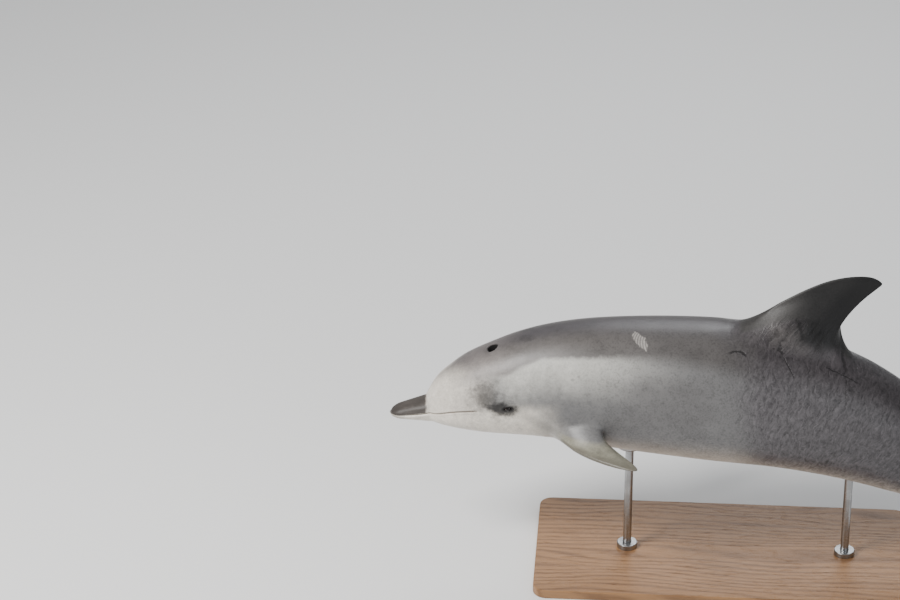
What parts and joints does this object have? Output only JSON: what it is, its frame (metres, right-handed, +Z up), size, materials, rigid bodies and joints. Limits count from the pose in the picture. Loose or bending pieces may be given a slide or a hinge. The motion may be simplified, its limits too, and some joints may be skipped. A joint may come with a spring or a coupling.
{
  "type": "bottlenose dolphin model",
  "caption": "Life-size bottlenose dolphin arched as it breaks the surface, held on a flat base by short rods.",
  "frame": {"origin": "centre of the display base's underside, on the floor", "axes": "+Z up; the beak points along -X and the tail along +X; the animal's left flank faces -Y"},
  "size_m": [2.659, 0.7566, 1.0885],
  "materials": {
    "skin_grey": "smooth, wet-looking brownish grey skin",
    "skin_dark": "smooth dark grey skin",
    "skin_pale": "smooth pale skin",
    "eye": "dark glossy eyeball",
    "stand_wood": "dark stained satin wood",
    "stand_steel": "brushed"
  },
  "bodies": {
    "root": {"beak_upper": "skin_dark", "chest": "skin_grey", "dorsal_fin": "skin_dark", "eye_left": "eye", "eye_right": "eye", "flipper_left": "skin_pale", "flipper_right": "skin_pale", "fluke_left": "skin_dark", "fluke_right": "skin_dark", "head": "skin_grey", "jaw_lower": "skin_pale", "melon": "skin_grey", "neck": "skin_grey", "stand_base": "stand_wood", "stand_collar_front": "stand_steel", "stand_collar_rear": "stand_steel", "stand_rod_front": "stand_steel", "stand_rod_rear": "stand_steel", "stand_saddle_front": "stand_steel", "stand_saddle_rear": "stand_steel", "tail_end": "skin_grey", "tail_stock_front": "skin_grey", "tail_stock_rear": "skin_grey", "trunk_front": "skin_grey", "trunk_middle": "skin_grey", "trunk_rear": "skin_grey"}
  },
  "joints": []
}
